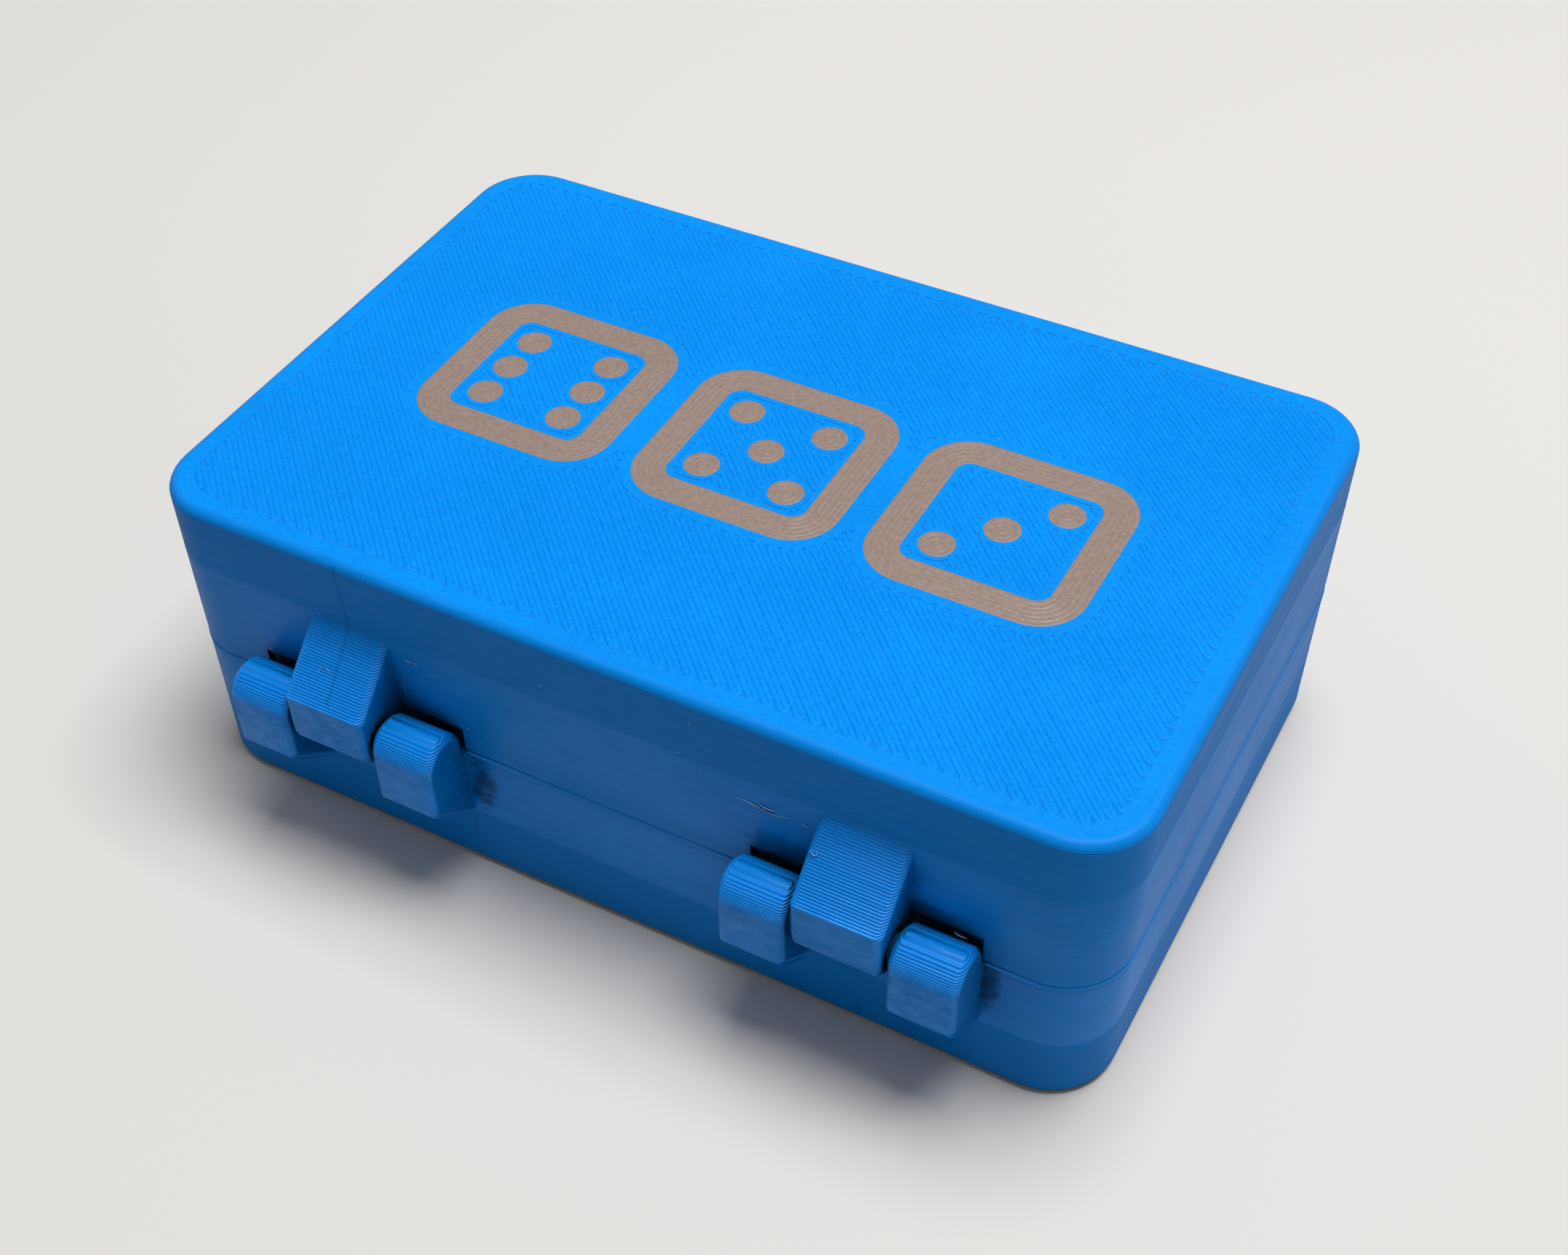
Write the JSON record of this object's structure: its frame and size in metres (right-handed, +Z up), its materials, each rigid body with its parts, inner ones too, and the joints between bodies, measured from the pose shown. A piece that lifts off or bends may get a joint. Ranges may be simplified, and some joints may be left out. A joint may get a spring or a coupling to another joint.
{
  "type": "hinged dice box",
  "caption": "Small 3D-printed dice box: a base tray and a deep lid joined by two printed knuckle hinges, with die faces inlaid in the lid.",
  "frame": {"origin": "middle of the flat underside of the base tray", "axes": "+X along the box, parallel to the hinge axis; the hinges are on the +Y wall and the opening front faces -Y; +Z up"},
  "size_m": [0.095, 0.0675, 0.0333],
  "materials": {
    "blue_plastic": "printed layers, satin",
    "brown_plastic": "printed lines, satin"
  },
  "bodies": {
    "base": {"base_tray": "blue_plastic"},
    "lid": {"lid": "blue_plastic", "ring_of_three": "brown_plastic", "pips_of_three": "brown_plastic", "ring_of_five": "brown_plastic", "pips_of_five": "brown_plastic", "ring_of_six": "brown_plastic", "pips_of_six": "brown_plastic"}
  },
  "joints": [
    {"name": "lid_hinge", "type": "hinge", "parent": "base", "child": "lid", "pos_m": [0, 0.03385, 0.01665], "axis": [-1, 0, 0], "range_deg": [0, 180]}
  ]
}
